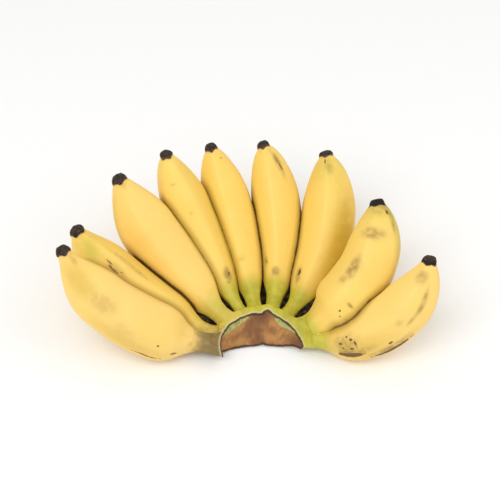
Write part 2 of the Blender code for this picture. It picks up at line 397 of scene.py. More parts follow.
class Shader:
    """A material's node tree, with one short call for each kind of node that the skins need."""

    def __init__(self, name):
        self.material = bpy.data.materials.new(name)
        self.material.use_nodes = True
        self.tree = self.material.node_tree
        self.surface = self.tree.nodes["Principled BSDF"]

    def put(self, socket, value):
        if isinstance(value, bpy.types.NodeSocket):
            self.tree.links.new(value, socket)
        elif socket.type == "RGBA":
            socket.default_value = (*value, 1.0)
        else:
            socket.default_value = value

    def node(self, kind, output=0, settings=None, inputs=None):
        made = self.tree.nodes.new(kind)
        for name, value in (settings or {}).items():
            setattr(made, name, value)
        for name, value in (inputs or {}).items():
            self.put(made.inputs[name], value)
        return made.outputs[output]

    def painted(self, name):
        return self.node("ShaderNodeAttribute", "Fac", {"attribute_name": name})

    def place(self):
        return self.node("ShaderNodeTexCoord", "Object")

    def laid_out(self, scale):
        """The skin's flat layout, stretched by the scale."""
        flat = self.node("ShaderNodeUVMap", 0, {"uv_map": "OFBake"})
        return self.node("ShaderNodeMapping", 0, None, {"Vector": flat, "Scale": scale})

    def noise(self, vector, scale, detail=3.0, roughness=0.5):
        inputs = {"Vector": vector, "Scale": scale, "Detail": detail, "Roughness": roughness}
        return self.node("ShaderNodeTexNoise", "Fac", None, inputs)

    def range(self, value, low, high, to_low=0.0, to_high=1.0):
        inputs = {"Value": value, "From Min": low, "From Max": high, "To Min": to_low, "To Max": to_high}
        return self.node("ShaderNodeMapRange", 0, {"interpolation_type": "SMOOTHSTEP"}, inputs)

    def math(self, operation, a, b=0.0):
        return self.node("ShaderNodeMath", 0, {"operation": operation}, {0: a, 1: b})

    def plus(self, a, b):
        return self.math("ADD", a, b)

    def times(self, a, b):
        return self.math("MULTIPLY", a, b)

    def mix(self, share, a, b):
        return self.node("ShaderNodeMix", 2, {"data_type": "RGBA"}, {0: share, 6: a, 7: b})

    def coated(self, colour, *coats):
        """A colour under more coats, each given by its share and its colour."""
        for share, coat in coats:
            colour = self.mix(share, colour, coat)
        return colour

    def bump(self, height, strength, distance):
        inputs = {"Height": height, "Strength": strength, "Distance": distance}
        self.put(self.surface.inputs["Normal"], self.node("ShaderNodeBump", 0, None, inputs))

    def finish(self, colour, roughness, specular):
        self.put(self.surface.inputs["Base Color"], colour)
        self.put(self.surface.inputs["Roughness"], roughness)
        self.surface.inputs["Specular IOR Level"].default_value = specular
        return self.material


def peel_material(colours):
    """Waxy yellow peel: green neck, brown where bruised or worn by rubbing, black tip, and painted shade."""
    s = Shader("banana_peel")
    place = s.place()
    broad = s.noise(place, 22.0, 2.0)
    fine = s.noise(place, 160.0, 4.0, 0.6)
    streaks = s.noise(s.laid_out((14.0, 90.0, 1.0)), 1.0, 3.0)
    ragged = s.range(s.noise(place, 420.0, 3.0, 0.6), 0.2, 0.8, -0.25, 0.25)
    green = s.plus(s.plus(s.painted("green"), s.painted("unripe")), s.range(fine, 0.3, 0.7, -0.1, 0.1))
    greens = s.mix(s.range(fine, 0.35, 0.65), colours.green, colours.lime)
    weathered = s.plus(s.painted("grey"), s.range(fine, 0.3, 0.7, -0.15, 0.1))
    bruise = s.times(s.painted("bruise"), s.range(fine, 0.35, 0.6, 0.4, 1.0))
    spot = s.range(s.plus(s.painted("spot"), ragged), 0.3, 0.5)
    cells = s.node("ShaderNodeTexVoronoi", "Distance", None, {"Vector": place, "Scale": 330.0})
    fleck_size = s.range(s.noise(place, 120.0, 2.0), 0.5, 0.75, 0.0, 0.22)
    # The crevice value paints shade, and browning from rubbing, where two fingers meet.
    crevice_shade_and_rub = s.plus(s.painted("crevice"), s.range(fine, 0.3, 0.7, -0.04, 0.04))
    rim = s.painted("rim")
    tip = s.plus(s.painted("tip"), ragged)
    colour = s.coated(
        colours.yellow,
        (s.times(s.painted("pale"), s.range(broad, 0.25, 0.7, 0.6, 1.0)), colours.pale),
        (s.range(broad, 0.45, 0.75, 0.0, 0.35), colours.ochre),
        (s.range(streaks, 0.5, 0.75, 0.0, 0.16), colours.ochre),
        (s.times(s.painted("crest"), s.range(fine, 0.4, 0.7, 0.05, 0.3)), colours.pale),
        # Painted shade: darker ochre on the sides of the fingers that lie in shade.
        (s.times(s.painted("deep"), s.range(fine, 0.2, 0.6, 0.7, 1.0)), colours.deep),
        (s.range(green, 0.05, 1.0), greens),
        (s.range(weathered, 0.0, 0.95, 0.0, 0.95), colours.neck_grey),
        (bruise, colours.bruise),
        (spot, colours.brown),
        (s.times(s.painted("speckle"), s.math("LESS_THAN", cells, fleck_size)), colours.brown),
        # Painted shade on the peel where another finger lies near.
        (s.range(s.painted("shade_near_finger"), 0.05, 1.0, 0.0, 0.85), colours.shaded),
        # Painted crevice shade, with browning from rubbing, where two fingers meet.
        (s.range(crevice_shade_and_rub, 0.6, 0.85, 0.0, 0.95), colours.crevice),
        (s.range(rim, 0.9, 2.4, 0.65, 0.0), colours.rim_pale),
        (s.range(rim, 0.35, 0.9, 1.0, 0.0), colours.rim_dark),
        (s.range(tip, -0.6, 0.35), colours.tip_brown),
        (s.range(tip, 0.3, 0.9), colours.tip_black),
    )
    dull = s.math("MAXIMUM", s.range(tip, 0.0, 0.6, 0.0, 0.35), s.times(bruise, 0.2))
    height = s.plus(s.times(fine, 0.5), s.times(streaks, 0.4))
    s.bump(s.math("SUBTRACT", height, s.times(spot, 0.5)), 0.25, 0.0005)
    return s.finish(colour, s.plus(s.range(fine, 0.3, 0.7, 0.40, 0.52), dull), 0.4)


def stub_material(colours):
    """The dried end of the flower: black-brown, dull and crumpled."""
    s = Shader("dried_flower")
    grain = s.noise(s.place(), 420.0, 5.0, 0.65)
    worn = (s.range(grain, 0.35, 0.7), colours.tip_dry)
    band = (s.range(s.painted("edge"), 0.2, 1.0, 0.0, 0.8), colours.tip_brown)
    s.bump(grain, 0.6, 0.0008)
    return s.finish(s.coated(colours.tip_black, worn, band), 0.72, 0.35)


def cut_material(colours):
    """The cut face: brown and fibrous, a pale green sliver of fresh flesh at either shoulder, and painted
    shade.
    """
    s = Shader("cut_face")
    place = s.place()
    grain = s.noise(place, 260.0, 5.0, 0.65)
    fibres = s.noise(s.laid_out((42.0, 9.0, 1.0)), 1.0, 4.0, 0.6)
    sliver = s.painted("sliver")
    ragged = s.plus(sliver, s.range(grain, 0.3, 0.7, -0.12, 0.12))
    edge = s.math("ABSOLUTE", s.math("SUBTRACT", sliver, 0.36))
    fresh = s.mix(s.range(fibres, 0.35, 0.65), colours.fresh, colours.fresh_pale)
    rim = s.plus(s.painted("rim"), s.range(grain, 0.3, 0.7, -0.5, 0.5))
    colour = s.coated(
        colours.flesh,
        (s.range(fibres, 0.2, 0.85), colours.flesh_light),
        (s.range(s.noise(place, 70.0, 2.0), 0.4, 0.7, 0.0, 0.7), colours.flesh_dark),
        # Painted shade under the tongue, at the right end and along the foot of the cut.
        (s.times(s.painted("shade"), 0.9), colours.flesh_dark),
        (s.range(grain, 0.55, 0.75, 0.0, 0.5), colours.flesh_dark),
        (s.range(ragged, 0.35, 0.55), fresh),
        (s.range(edge, 0.0, 0.14, 0.75, 0.0), colours.flesh_dark),
        (s.range(rim, 0.6, 1.6, 0.9, 0.0), colours.rim_dark),
    )
    s.bump(s.plus(s.times(fibres, 0.7), s.times(grain, 0.5)), 0.5, 0.001)
    return s.finish(colour, s.range(grain, 0.3, 0.7, 0.6, 0.8), 0.3)


def rim_material(colours):
    """The dried edge of the skin round the cut."""
    s = Shader("dried_rim")
    grain = s.noise(s.place(), 500.0, 4.0, 0.6)
    s.bump(grain, 0.4, 0.0005)
    return s.finish(s.mix(grain, colours.rim_dark, colours.flesh_dark), 0.7, 0.5)


def gap_shade_material(colours):
    """Nearly black sheets that paint the deep shade in the gaps between the necks."""
    s = Shader("gap_shade_sheet")
    grain = s.noise(s.place(), 300.0, 4.0, 0.6)
    s.bump(grain, 0.5, 0.0008)
    return s.finish(s.mix(s.range(grain, 0.45, 0.85), colours.web, colours.tip_brown), 0.85, 0.2)


def floor_material(colour):
    s = Shader("studio_floor")
    darker = [0.985 * channel for channel in colour]
    return s.finish(s.mix(s.noise(s.place(), 90.0, 3.0), colour, darker), 0.85, 0.1)


def shared_material(name, make, colours):
    return bpy.data.materials.get(name) or make(colours)


def colour_property(name, description, default):
    return bpy.props.FloatVectorProperty(
        name=name, description=description, default=default, subtype="COLOR", size=3, min=0.0, max=1.0)


def length_property(name, description, default, least, most):
    """A small length, given in millimetres."""
    return bpy.props.FloatProperty(
        name=name, description=description, default=default * MM, min=least * MM, max=most * MM,
        unit="LENGTH", precision=5)


def count_property(name, description, default, least, most):
    return bpy.props.IntProperty(name=name, description=description, default=default, min=least, max=most)


def number_property(name, description, default, least=0.0, **settings):
    return bpy.props.FloatProperty(name=name, description=description, default=default, min=least, **settings)


class BananaColours(bpy.types.PropertyGroup):
    yellow: colour_property("Yellow", "Ripe peel", (0.90, 0.62, 0.11))
    pale: colour_property("Pale yellow", "Paler peel and the crests of the ridges", (0.92, 0.63, 0.20))
    ochre: colour_property("Ochre", "Deeper patches of ripe peel", (0.80, 0.52, 0.075))
    # Painted shade: darker ochre on the sides of the fingers that lie in shade.
    deep: colour_property("Deep", "Ochre patches on the sides of the fingers", (0.62, 0.40, 0.04))
    # Painted shade on the peel beside the next finger.
    shaded: colour_property("Shaded", "Olive-brown peel beside the next finger", (0.42, 0.26, 0.015))
    neck_grey: colour_property("Neck grey", "Weathered grey-brown necks", (0.19, 0.125, 0.04))
    green: colour_property("Green", "Necks and unripe patches", (0.44, 0.41, 0.035))
    lime: colour_property("Lime", "Where green turns to yellow", (0.58, 0.51, 0.05))
    bruise: colour_property("Bruise", "Grey-brown bruises under the skin", (0.30, 0.19, 0.045))
    brown: colour_property("Brown", "Spots and flecks", (0.16, 0.075, 0.022))
    # Painted crevice shade, together with browning from rubbing, where two fingers meet.
    crevice: colour_property("Crevice", "Rubbed peel where two fingers meet", (0.10, 0.035, 0.008))
    # Painted shade: the nearly black sheets that stand for the deep shade in the gaps between the necks.
    web: colour_property("Web", "The dried webs between the necks", (0.010, 0.005, 0.003))
    tip_brown: colour_property("Tip brown", "The band between peel and dried tip", (0.20, 0.125, 0.06))
    tip_black: colour_property("Tip black", "The dried tip", (0.009, 0.0055, 0.005))
    tip_dry: colour_property("Tip grey", "The worn crests of the dried tip", (0.075, 0.040, 0.022))
    flesh: colour_property("Cut brown", "The dried cut face", (0.38, 0.17, 0.05))
    flesh_light: colour_property("Cut light", "Lighter fibres in the cut face", (0.55, 0.28, 0.085))
    flesh_dark: colour_property("Cut dark", "Darker hollows of the cut face", (0.12, 0.045, 0.022))
    fresh: colour_property("Fresh flesh", "Green slivers inside the rim", (0.30, 0.30, 0.08))
    fresh_pale: colour_property("Fresh flesh, pale", "Paler part of the green slivers", (0.46, 0.43, 0.17))
    rim_dark: colour_property("Rim", "The dried edge of the skin", (0.055, 0.03, 0.014))
    rim_pale: colour_property("Rim skin", "The pale skin just outside the dried edge", (0.66, 0.62, 0.34))


class BananaSizes(bpy.types.PropertyGroup):
    rings: count_property("Rings", "Rings of points along a finger", 170, 20, 400)
    sides: count_property("Sides", "Points round a finger", 130, 15, 300)
    lump: length_property("Lumps", "How far the peel swells and sinks by hand's breadths", 0.45, 0.0, 2)
    crown_grain: length_property("Crown grain", "Size of the cells that the crown is grown from", 0.7, 0.3, 3)
    web_smoothing: count_property("Web smoothing", "How often the webs between necks are smoothed", 14, 0, 60)
    # The nearly black sheets that paint the deep shade in the gaps between the necks:
    gap_shade_start: number_property("Web start", "Share of the length where a web starts", 0.07, max=0.2)
    gap_shade_end: number_property("Web end", "Share of the length where a web ends", 0.27, 0.1, max=0.5)
    gap_shade_depth: length_property("Web depth", "How far the webs sag below the necks' middles", 2.0, 0.0, 8)
    gap_shade_thickness: length_property("Web thickness", "The thickness of the dried webs", 2.0, 0.2, 6)
    cut_relief: length_property("Cut relief", "How rough the cut face is", 0.5, 0.0, 2)
    rim_thickness: length_property("Rim thickness", "Thickness of the dried edge round the cut", 0.75, 0.1, 3)
    stub_length: length_property("Stub length", "How much of a finger's end a dried tip covers", 2.5, 2, 15)


class StudioSettings(bpy.types.PropertyGroup):
    floor_colour: colour_property("Floor", "The pale floor", (0.94, 0.94, 0.935))
    floor_size: number_property("Floor size", "Width and depth of the floor", 6.0, 1.0, unit="LENGTH")
    sky: number_property("Sky", "Strength of the even light from all round", 0.75)
    key: number_property("Key", "Power of the large soft light over the hand", 9.0, unit="POWER")
    fill: number_property("Fill", "Power of the soft light from the right", 2.5, unit="POWER")
    distance: number_property("Camera distance", "From the camera to the hand", 1.128, 0.1, unit="LENGTH")
    elevation: number_property(
        "Camera elevation", "How steeply the camera looks down", math.radians(46.5), subtype="ANGLE")
    azimuth: number_property(
        "Camera azimuth", "How far right the camera stands", math.radians(0.7), -math.pi, subtype="ANGLE")
    lens: number_property("Lens", "Focal length on a 36 mm sensor", 110.2, 10.0)
    aim: bpy.props.FloatVectorProperty(
        name="Aim", description="The point that the camera looks at", default=(-0.0002, 0.0011, 0.040),
        subtype="XYZ_LENGTH")


def crown_thickness(angle):
    toward_end = max(0.0, (abs(angle) - CROWN_THINS_FROM) / (CROWN_SWEEP - CROWN_THINS_FROM))
    return 1 - (1 - CROWN_END_THICKNESS) * toward_end**2


def rail_point(half_width, reach, height, angle):
    return np.array([half_width * math.sin(angle), reach * math.cos(angle), height]) * MM + CROWN_MIDDLE


def crown_rings():
    """The crown's rings of points, one for each step of its sweep."""
    inner_width = CROWN_RAILS[0][0]
    rings = []
    for angle in np.linspace(-CROWN_SWEEP, CROWN_SWEEP, CROWN_STEPS):
        tongue = math.exp(-(((angle - TONGUE_PLACE) / TONGUE_WIDTH) ** 2))
        thick = crown_thickness(angle)
        rise = TONGUE_HEIGHT * tongue - CROWN_DIP * max(0.0, math.sin(angle)) ** 2
        ring = []
        for k, (half_width, reach, height) in enumerate(CROWN_RAILS):
            half_width = inner_width + (half_width - inner_width) * thick
            if k < CROWN_TOP_RAILS:
                height += rise
            ring.append(rail_point(half_width, reach, height, angle))
        rings.append(ring)
    return np.array(rings)


def stalk_cutter(relief, material):
    """The stalk's side of the cut, with the fibres that it tore out of the crown."""
    columns, rows = 220, 84
    angles = np.linspace(-CUT_SWEEP, CUT_SWEEP, columns)
    rings = []
    for angle in angles:
        low, high = rail_point(*CUT_LOW_RAIL, angle), rail_point(*CUT_HIGH_RAIL, angle)
        outward = np.array([math.sin(angle), math.cos(angle), CUT_SLANT])
        outward /= np.linalg.norm(outward)
        ring = [rail_point(*CUTTER_BELOW, angle)]
        for v in np.linspace(0.0, 1.0, rows):
            point = low + (high - low) * v
            fibre = noise.noise(Vector((angle * 45.0, v * 5.0, 3.1)))
            hollow = noise.noise(Vector((angle * 6.0, v * 7.0, 8.4)))
            ring.append(point + outward * relief * (0.7 * fibre + hollow))
        ring.append(rail_point(*CUTTER_ABOVE, angle))
        rings.append(ring)
    return capped_tube("stalk_cutter", np.array(rings), [material])


def apply_modifiers(obj):
    """Replaces an object's mesh by what its modifiers make of it."""
    graph = bpy.context.evaluated_depsgraph_get()
    mesh = bpy.data.meshes.new_from_object(obj.evaluated_get(graph))
    obj.modifiers.clear()
    obj.data = mesh


def near_others(points, others, reach):
    """How close the nearest other shape is to each point: 1 where they meet, 0 at reach or further."""
    close = np.zeros(len(points))
    for k, point in enumerate(points):
        hit = others.find_nearest(Vector(point), reach)
        if hit[0] is not None:
            close[k] = 1 - hit[3] / reach
    return close


def neck_colours(skin, along):
    """How green and how grey a neck is at each share of its finger's length."""
    low, high = (skin.green_end + fade for fade in GREEN_FADE)
    green = skin.green_neck * (1 - smooth_step(low, high, along))
    return green, skin.grey_neck * (1 - smooth_step(*GREY_FADE, along))


class MESH_OT_banana_fingers(bpy.types.Operator):
    """Builds the ten fingers, with their ridges, their marks and their black ends"""

    bl_idname = "mesh.banana_fingers"
    bl_label = "Fingers"

    def execute(self, context):
        sizes = context.scene.banana_sizes
        material = shared_material("banana_peel", peel_material, context.scene.banana_colours)
        step = 1
        rings, sides = sizes.rings // step, sizes.sides // step
        t = np.concatenate([
            np.linspace(SKIN_START, SKIN_CLOSER, int(rings * 0.8), endpoint=False),
            np.linspace(SKIN_CLOSER, SKIN_END, rings - int(rings * 0.8)),
        ])
        swell = 1 - SKIN_TUCK + SKIN_TUCK * smooth_step(SKIN_START, SKIN_FULL, t)
        angle = np.linspace(0.0, 2 * math.pi, sides, endpoint=False) + math.pi
        grids = [finger_rings(finger, t, angle, swell) for finger in FINGERS]
        faces = tube_faces(len(t), sides)
        trees = [BVHTree.FromPolygons(grid.reshape(-1, 3).tolist(), faces) for grid, _ in grids]
        for number, (finger, skin, (grid, crest)) in enumerate(zip(FINGERS, SKINS, grids), start=1):
            points, _, _ = centreline(finger, t)
            flat = grid.reshape(-1, 3)
            lumps = sizes.lump * (noise_at(flat, 28.0, number) + 0.4 * noise_at(flat, 75.0, number + 20))
            outward = grid - points[:, None, :]
            outward /= np.linalg.norm(outward, axis=2, keepdims=True)
            fade = smooth_step(0.1, 0.25, t) * (1 - 0.7 * smooth_step(0.9, 0.97, t))
            grid = grid + outward * (lumps.reshape(grid.shape[:2]) * fade[:, None])[..., None]
            grid[..., 2] = np.maximum(grid[..., 2], 0.0)
            obj = capped_tube(f"finger_{number}", grid, [material])
            self.paint_skin(obj, finger, skin, number, t, angle, grid, crest, trees)
            self.lay_out(obj, len(t), sides)
            dress(obj)
        return {"FINISHED"}

    def paint_skin(self, obj, finger, skin, number, t, angle, grid, crest, trees):
        """Paints what lies where on a finger's skin. The two end points repeat the last values."""
        along, around = np.meshgrid(t, angle, indexing="ij")
        flat = grid.reshape(-1, 3)
        close = np.zeros(len(flat))
        crevice = np.zeros(len(flat))
        for other, tree in enumerate(trees, start=1):
            if other != number:
                near = near_others(flat, tree, CREVICE_REACH)
                pair = (min(number, other), max(number, other))
                close = np.maximum(close, near)
                crevice = np.maximum(crevice, near * CREVICES.get(pair, PLAIN_CREVICE))
        beyond = smooth_step(*CREVICE_STARTS, along.ravel())
        green, grey = neck_colours(skin, along)
        black = along - 1 + skin.black_end / finger.length + TIP_FADE * crest
        painted = {
            "crest": crest * smooth_step(0.3, 0.6, along),
            # Painted shade where another finger lies near.
            "shade_near_finger": close * beyond,
            # Painted crevice shade and browning from rubbing where two fingers meet.
            "crevice": crevice * beyond,
            "green": green + skin.green_tip * smooth_step(0.78, 0.95, along),
            "grey": grey,
            "tip": black / TIP_FADE,
            "pale": np.full(along.shape, skin.pale),
            "rim": np.full(along.shape, FAR_FROM_RIM),
        }
        layers = self.marks(finger, number, along, around)
        for name, values in {**painted, **layers}.items():
            values = np.asarray(values).ravel()
            paint(obj, name, np.concatenate([values, values[:1], values[-1:]]))

    def marks(self, finger, number, along, around):
        """The bruises, spots, unripe patches and speckled places on one finger."""
        layers = {kind: np.zeros(along.shape) for kind in MARK_KINDS}
        radius = finger.width * MM / 2
        rows = [(kind, row) for (owner, kind), group in MARKS.items() if owner == number for row in group]
        for kind, row in rows:
            mark = Mark(*row)
            down = (along - mark.along) * finger.length * MM / (mark.length * MM / 2)
            turn = (around - math.radians(mark.around) + math.pi) % (2 * math.pi) - math.pi
            across = turn * radius * girth(finger, along) / (mark.width * MM / 2)
            spread = (down**2 + across**2) ** 1.5
            layers[kind] = np.maximum(layers[kind], mark.strength * np.exp(-spread))
        return layers

    def lay_out(self, obj, rings, sides):
        """Lays the skin out flat: the first axis runs along the finger and the second round it."""
        layer = obj.data.uv_layers.new(name="OFBake")
        margin = 0.02
        flat = []
        for face in obj.data.polygons:
            columns = [v % sides for v in face.vertices if v < rings * sides]
            wraps = 0 in columns and sides - 1 in columns
            for v in face.vertices:
                if v < rings * sides:
                    ring, column = divmod(v, sides)
                    if wraps and column == 0:
                        column = sides
                    flat += [margin + (1 - 2 * margin) * ring / (rings - 1), column / sides]
                else:
                    middle = (min(columns) + max(columns)) / 2 if not wraps else sides - 0.5
                    flat += [0.0 if v == rings * sides else 1.0, middle / sides]
        layer.data.foreach_set("uv", flat)


class MESH_OT_banana_stubs(bpy.types.Operator):
    """Builds the dried, black end of the flower on each finger"""

    bl_idname = "mesh.banana_stubs"
    bl_label = "Dried tips"

    def execute(self, context):
        sizes = context.scene.banana_sizes
        material = shared_material("dried_flower", stub_material, context.scene.banana_colours)
        sides, rings = 72, 30
        angle = np.linspace(0.0, 2 * math.pi, sides, endpoint=False)
        for number, (finger, skin) in enumerate(zip(FINGERS, SKINS), start=1):
            cover = sizes.stub_length * skin.black_end / PLAIN_END / (finger.length * MM)
            u = np.linspace(0.0, 1.0, rings)
            t = STUB_END - cover * (1 - u)
            width = STUB_WIDTH - STUB_NARROWS * u**2
            grid, _ = finger_rings(finger, t, angle, width / girth(finger, t))
            middle, _, _ = centreline(finger, t)
            outward = grid - middle[:, None, :]
            wrinkle = np.array([[
                noise.noise(Vector((3 * math.cos(a), 3 * math.sin(a), 2.0 * v + 7 * number)))
                + 0.5 * noise.noise(Vector((9 * math.cos(a), 9 * math.sin(a), 5.0 * v + number)))
                for a in angle] for v in u])
            swell = 0.94 + 0.09 * smooth_step(0.0, 0.25, u)
            shape = swell[:, None] * (1 + 0.035 * wrinkle)
            grid = middle[:, None, :] + outward * shape[..., None]
            end = self.end_cap(finger, grid[-1], middle[-1], t[-1], number)
            obj = capped_tube(f"dried_tip_{number}", np.concatenate([grid, end]), [material])
            edge = np.repeat(1 - smooth_step(0.15, 0.7, u), sides)
            edge = np.concatenate([edge, np.zeros(len(end) * sides + 2)])
            edge[-2] = 1.0
            paint(obj, "edge", edge)
            dress(obj)
        return {"FINISHED"}

    def end_cap(self, finger, last, middle, place, number):
        """Rings that close the stub with a low, slightly lumpy dome."""
        _, side, inner = centreline(finger, np.array([place]))
        outward = np.cross(inner[0], side)
        outward *= math.copysign(1.0, outward[2])
        rings = []
        for slant in np.radians((20, 38, 54, 68, 80)):
            ring = middle + (last - middle) * math.cos(slant)
            lumps = np.array([noise.noise(Vector(p) * 500.0 + Vector((number, 0, 0))) for p in ring])
            rings.append(ring + outward * (STUB_DOME * math.sin(slant) + STUB_LUMPS * lumps)[:, None])
        return np.array(rings)


class MESH_OT_banana_crown(bpy.types.Operator):
    """Grows the crown and the starts of the necks together, cuts them off the stalk and dries the rim"""

    bl_idname = "mesh.banana_crown"
    bl_label = "Crown and cut"

    def execute(self, context):
        colours = context.scene.banana_colours
        sizes = context.scene.banana_sizes
        peel = shared_material("banana_peel", peel_material, colours)
        cut = shared_material("cut_face", cut_material, colours)
        crown = self.grown(sizes, peel)
        cutter = stalk_cutter(sizes.cut_relief, cut)
        taken = crown.modifiers.new("cut", "BOOLEAN")
        taken.operation = "DIFFERENCE"
        taken.object = cutter
        taken.solver = "EXACT"
        taken.material_mode = "TRANSFER"
        apply_modifiers(crown)
        bpy.data.objects.remove(cutter)
        face = self.split_off(crown, "cut_face", cut)
        rim = self.rim_loop(face)
        self.dried_rim(rim, sizes.rim_thickness, shared_material("dried_rim", rim_material, colours))
        self.paint_crown(crown, rim)
        self.paint_cut(face, rim)
        dress(crown)
        dress(face)
        return {"FINISHED"}

    def grown(self, sizes, material):
        """The crown and the neck stubs as one smooth closed skin."""
        angle = np.linspace(0.0, 2 * math.pi, 40, endpoint=False)
        t = np.linspace(FINGER_START, NECK_END, 30)
        swell = 1.03 - 0.15 * smooth_step(0.05, NECK_END, t)
        parts = [capped_tube("crown", crown_rings(), [material])]
        for number, finger in enumerate(FINGERS, start=1):
            rings, _ = finger_rings(finger, t, angle, swell)
            parts.append(capped_tube(f"neck_{number}", rings))
        mesh = bmesh.new()
        for part in parts:
            mesh.from_mesh(part.data)
        bmesh.ops.recalc_face_normals(mesh, faces=mesh.faces)
        crown = parts[0]
        mesh.to_mesh(crown.data)
        mesh.free()
        for part in parts[1:]:
            bpy.data.objects.remove(part)
        remesh = crown.modifiers.new("grow", "REMESH")
        remesh.mode = "VOXEL"
        remesh.voxel_size = sizes.crown_grain
        smooth = crown.modifiers.new("webs", "SMOOTH")
        smooth.factor = 0.5
        smooth.iterations = sizes.web_smoothing
        apply_modifiers(crown)
        points = self.sunk(points_of(crown))
        points[:, 2] = np.maximum(points[:, 2], 0.0)
        crown.data.vertices.foreach_set("co", points.ravel())
        return crown

    def sunk(self, points):
        """The points, pressed softly between the two edges of the rim where they lie near the cut."""
        away = points - CROWN_MIDDLE
        turn = np.degrees(np.arctan2(away[:, 0], away[:, 1]))
        outside = np.hypot(away[:, 0], away[:, 1]) - RIM_RADIUS
        outside = RIM_SLOPE * np.maximum(outside, 0.0) + RIM_STEEPER * np.maximum(outside - RIM_GENTLE, 0.0)
        beside = np.abs(turn - math.degrees(TONGUE_PLACE)) / RIM_TONGUE_WIDTH
        tongue = RIM_TONGUE_HEIGHT * MM * np.maximum(1 - beside, 0.0)
        top = RIM_HEIGHT + RIM_LEFT_RISE * smooth_step(*RIM_LEFT_ARC, turn)
        top = top - RIM_RIGHT_DROP * smooth_step(*RIM_RIGHT_ARC, turn) + tongue + outside
        low = RIM_SWELL * np.exp(-((turn - RIM_SWELL_PLACE) / RIM_SWELL_WIDTH) ** 2)
        low = low + RIM_LIFT * smooth_step(*RIM_LIFT_ARC, turn) - outside
        z = points[:, 2]
        z = top - RIM_SOFTNESS * np.logaddexp(0.0, (top - z) / RIM_SOFTNESS)
        z = low + RIM_SOFTNESS * np.logaddexp(0.0, (z - low) / RIM_SOFTNESS)
        z = z + RIM_KEPT * (points[:, 2] - z)
        behind = away[:, 1] < RIM_BACK
        return np.column_stack([points[:, :2], np.where(behind, points[:, 2], z)])

    def split_off(self, crown, name, material):
        """Moves the faces of one material from the crown into an object of their own."""
        index = [m.name for m in crown.data.materials].index(material.name)
        data = bpy.data.meshes.new(name)
        for target, kept in ((data, True), (crown.data, False)):
            mesh = bmesh.new()
            mesh.from_mesh(crown.data)
            gone = [f for f in mesh.faces if (f.material_index == index) != kept]
            bmesh.ops.delete(mesh, geom=gone, context="FACES")
            for f in mesh.faces:
                f.material_index = 0
            mesh.to_mesh(target)
            mesh.free()
            target.shade_smooth()
        data.materials.clear()
        data.materials.append(material)
        obj = bpy.data.objects.new(name, data)
        bpy.context.scene.collection.objects.link(obj)
        return obj

    def rim_loop(self, face):
        """The longest closed loop of points along the edge of the cut face, in order."""
        mesh = bmesh.new()
        mesh.from_mesh(face.data)
        following = {}
        for edge in mesh.edges:
            if edge.is_boundary:
                a, b = (v.index for v in edge.verts)
                following.setdefault(a, []).append(b)
                following.setdefault(b, []).append(a)
        places = [v.co.copy() for v in mesh.verts]
        mesh.free()
        loops, left = [], set(following)
        while left:
            here = min(left)
            loop = []
            while here is not None:
                loop.append(places[here])
                left.discard(here)
                here = next((n for n in following[here] if n in left), None)
            loops.append(loop)
        return max(loops, key=len)

    def dried_rim(self, rim, thickness, material):
        """A thin, uneven bead of dried skin that follows the edge of the cut."""
        points = np.array([list(p) for p in rim])
        for _ in range(6):
            points = (np.roll(points, 1, 0) + 2 * points + np.roll(points, -1, 0)) / 4
        closed = np.vstack([points, points[:1]])
        steps = np.linalg.norm(np.diff(closed, axis=0), axis=1)
        place = np.concatenate([[0.0], np.cumsum(steps)])
        even = np.linspace(0.0, place[-1], 360, endpoint=False)
        points = np.array([np.interp(even, place, closed[:, k]) for k in range(3)]).T
        forward = np.roll(points, -1, 0) - np.roll(points, 1, 0)
        forward /= np.linalg.norm(forward, axis=1, keepdims=True)
        across = np.cross(forward, CUT_FACING)
        across /= np.linalg.norm(across, axis=1, keepdims=True)
        above = np.cross(across, forward)
        size = thickness / 2 * (1 + 0.45 * noise_at(points, 260.0) + 0.25 * noise_at(points, 700.0, 5.0))
        angle = np.linspace(0.0, 2 * math.pi, 10, endpoint=False)
        rings = (points[:, None, :]
                 + (size[:, None] * np.cos(angle))[..., None] * across[:, None, :]
                 + (size[:, None] * np.sin(angle))[..., None] * above[:, None, :])
        count, sides = rings.shape[:2]
        faces = tube_faces(count, sides)
        last = (count - 1) * sides
        faces += [(last + j, last + (j + 1) % sides, (j + 1) % sides, j) for j in range(sides)]
        dress(mesh_object("dried_rim", rings.reshape(-1, 3).tolist(), faces, [material]))

    def rim_distance(self, points, rim):
        """How far each point is from the rim, in millimetres."""
        tree = KDTree(len(rim))
        for k, point in enumerate(rim):
            tree.insert(point, k)
        tree.balance()
        return np.array([tree.find(Vector(p))[2] / MM for p in points])

    def paint_crown(self, crown, rim):
        """Gives each point of the crown the colours of the neck that it is nearest to."""
        points = points_of(crown)
        count = len(points)
        best = np.full(count, np.inf)
        names = ("green", "grey", "pale", "crest", "shade_near_finger", "crevice", *MARK_KINDS)
        layers = {name: np.zeros(count) for name in names}
        layers["tip"] = np.full(count, -5.0)
        layers["rim"] = self.rim_distance(points, rim)
        t = np.linspace(FINGER_START, 0.2, 60)
        for finger, skin in zip(FINGERS, SKINS):
            middle, _, _ = centreline(finger, t)
            size = girth(finger, t) * finger.width * MM / 2
            gap = np.linalg.norm(points[:, None, :] - middle[None], axis=2) - size
            closer = gap.min(axis=1) < best
            best[closer] = gap.min(axis=1)[closer]
            green, grey = neck_colours(skin, t[gap.argmin(axis=1)[closer]])
            layers["green"][closer] = green
            layers["grey"][closer] = grey
            layers["pale"][closer] = skin.pale
        for name, values in layers.items():
            paint(crown, name, values)

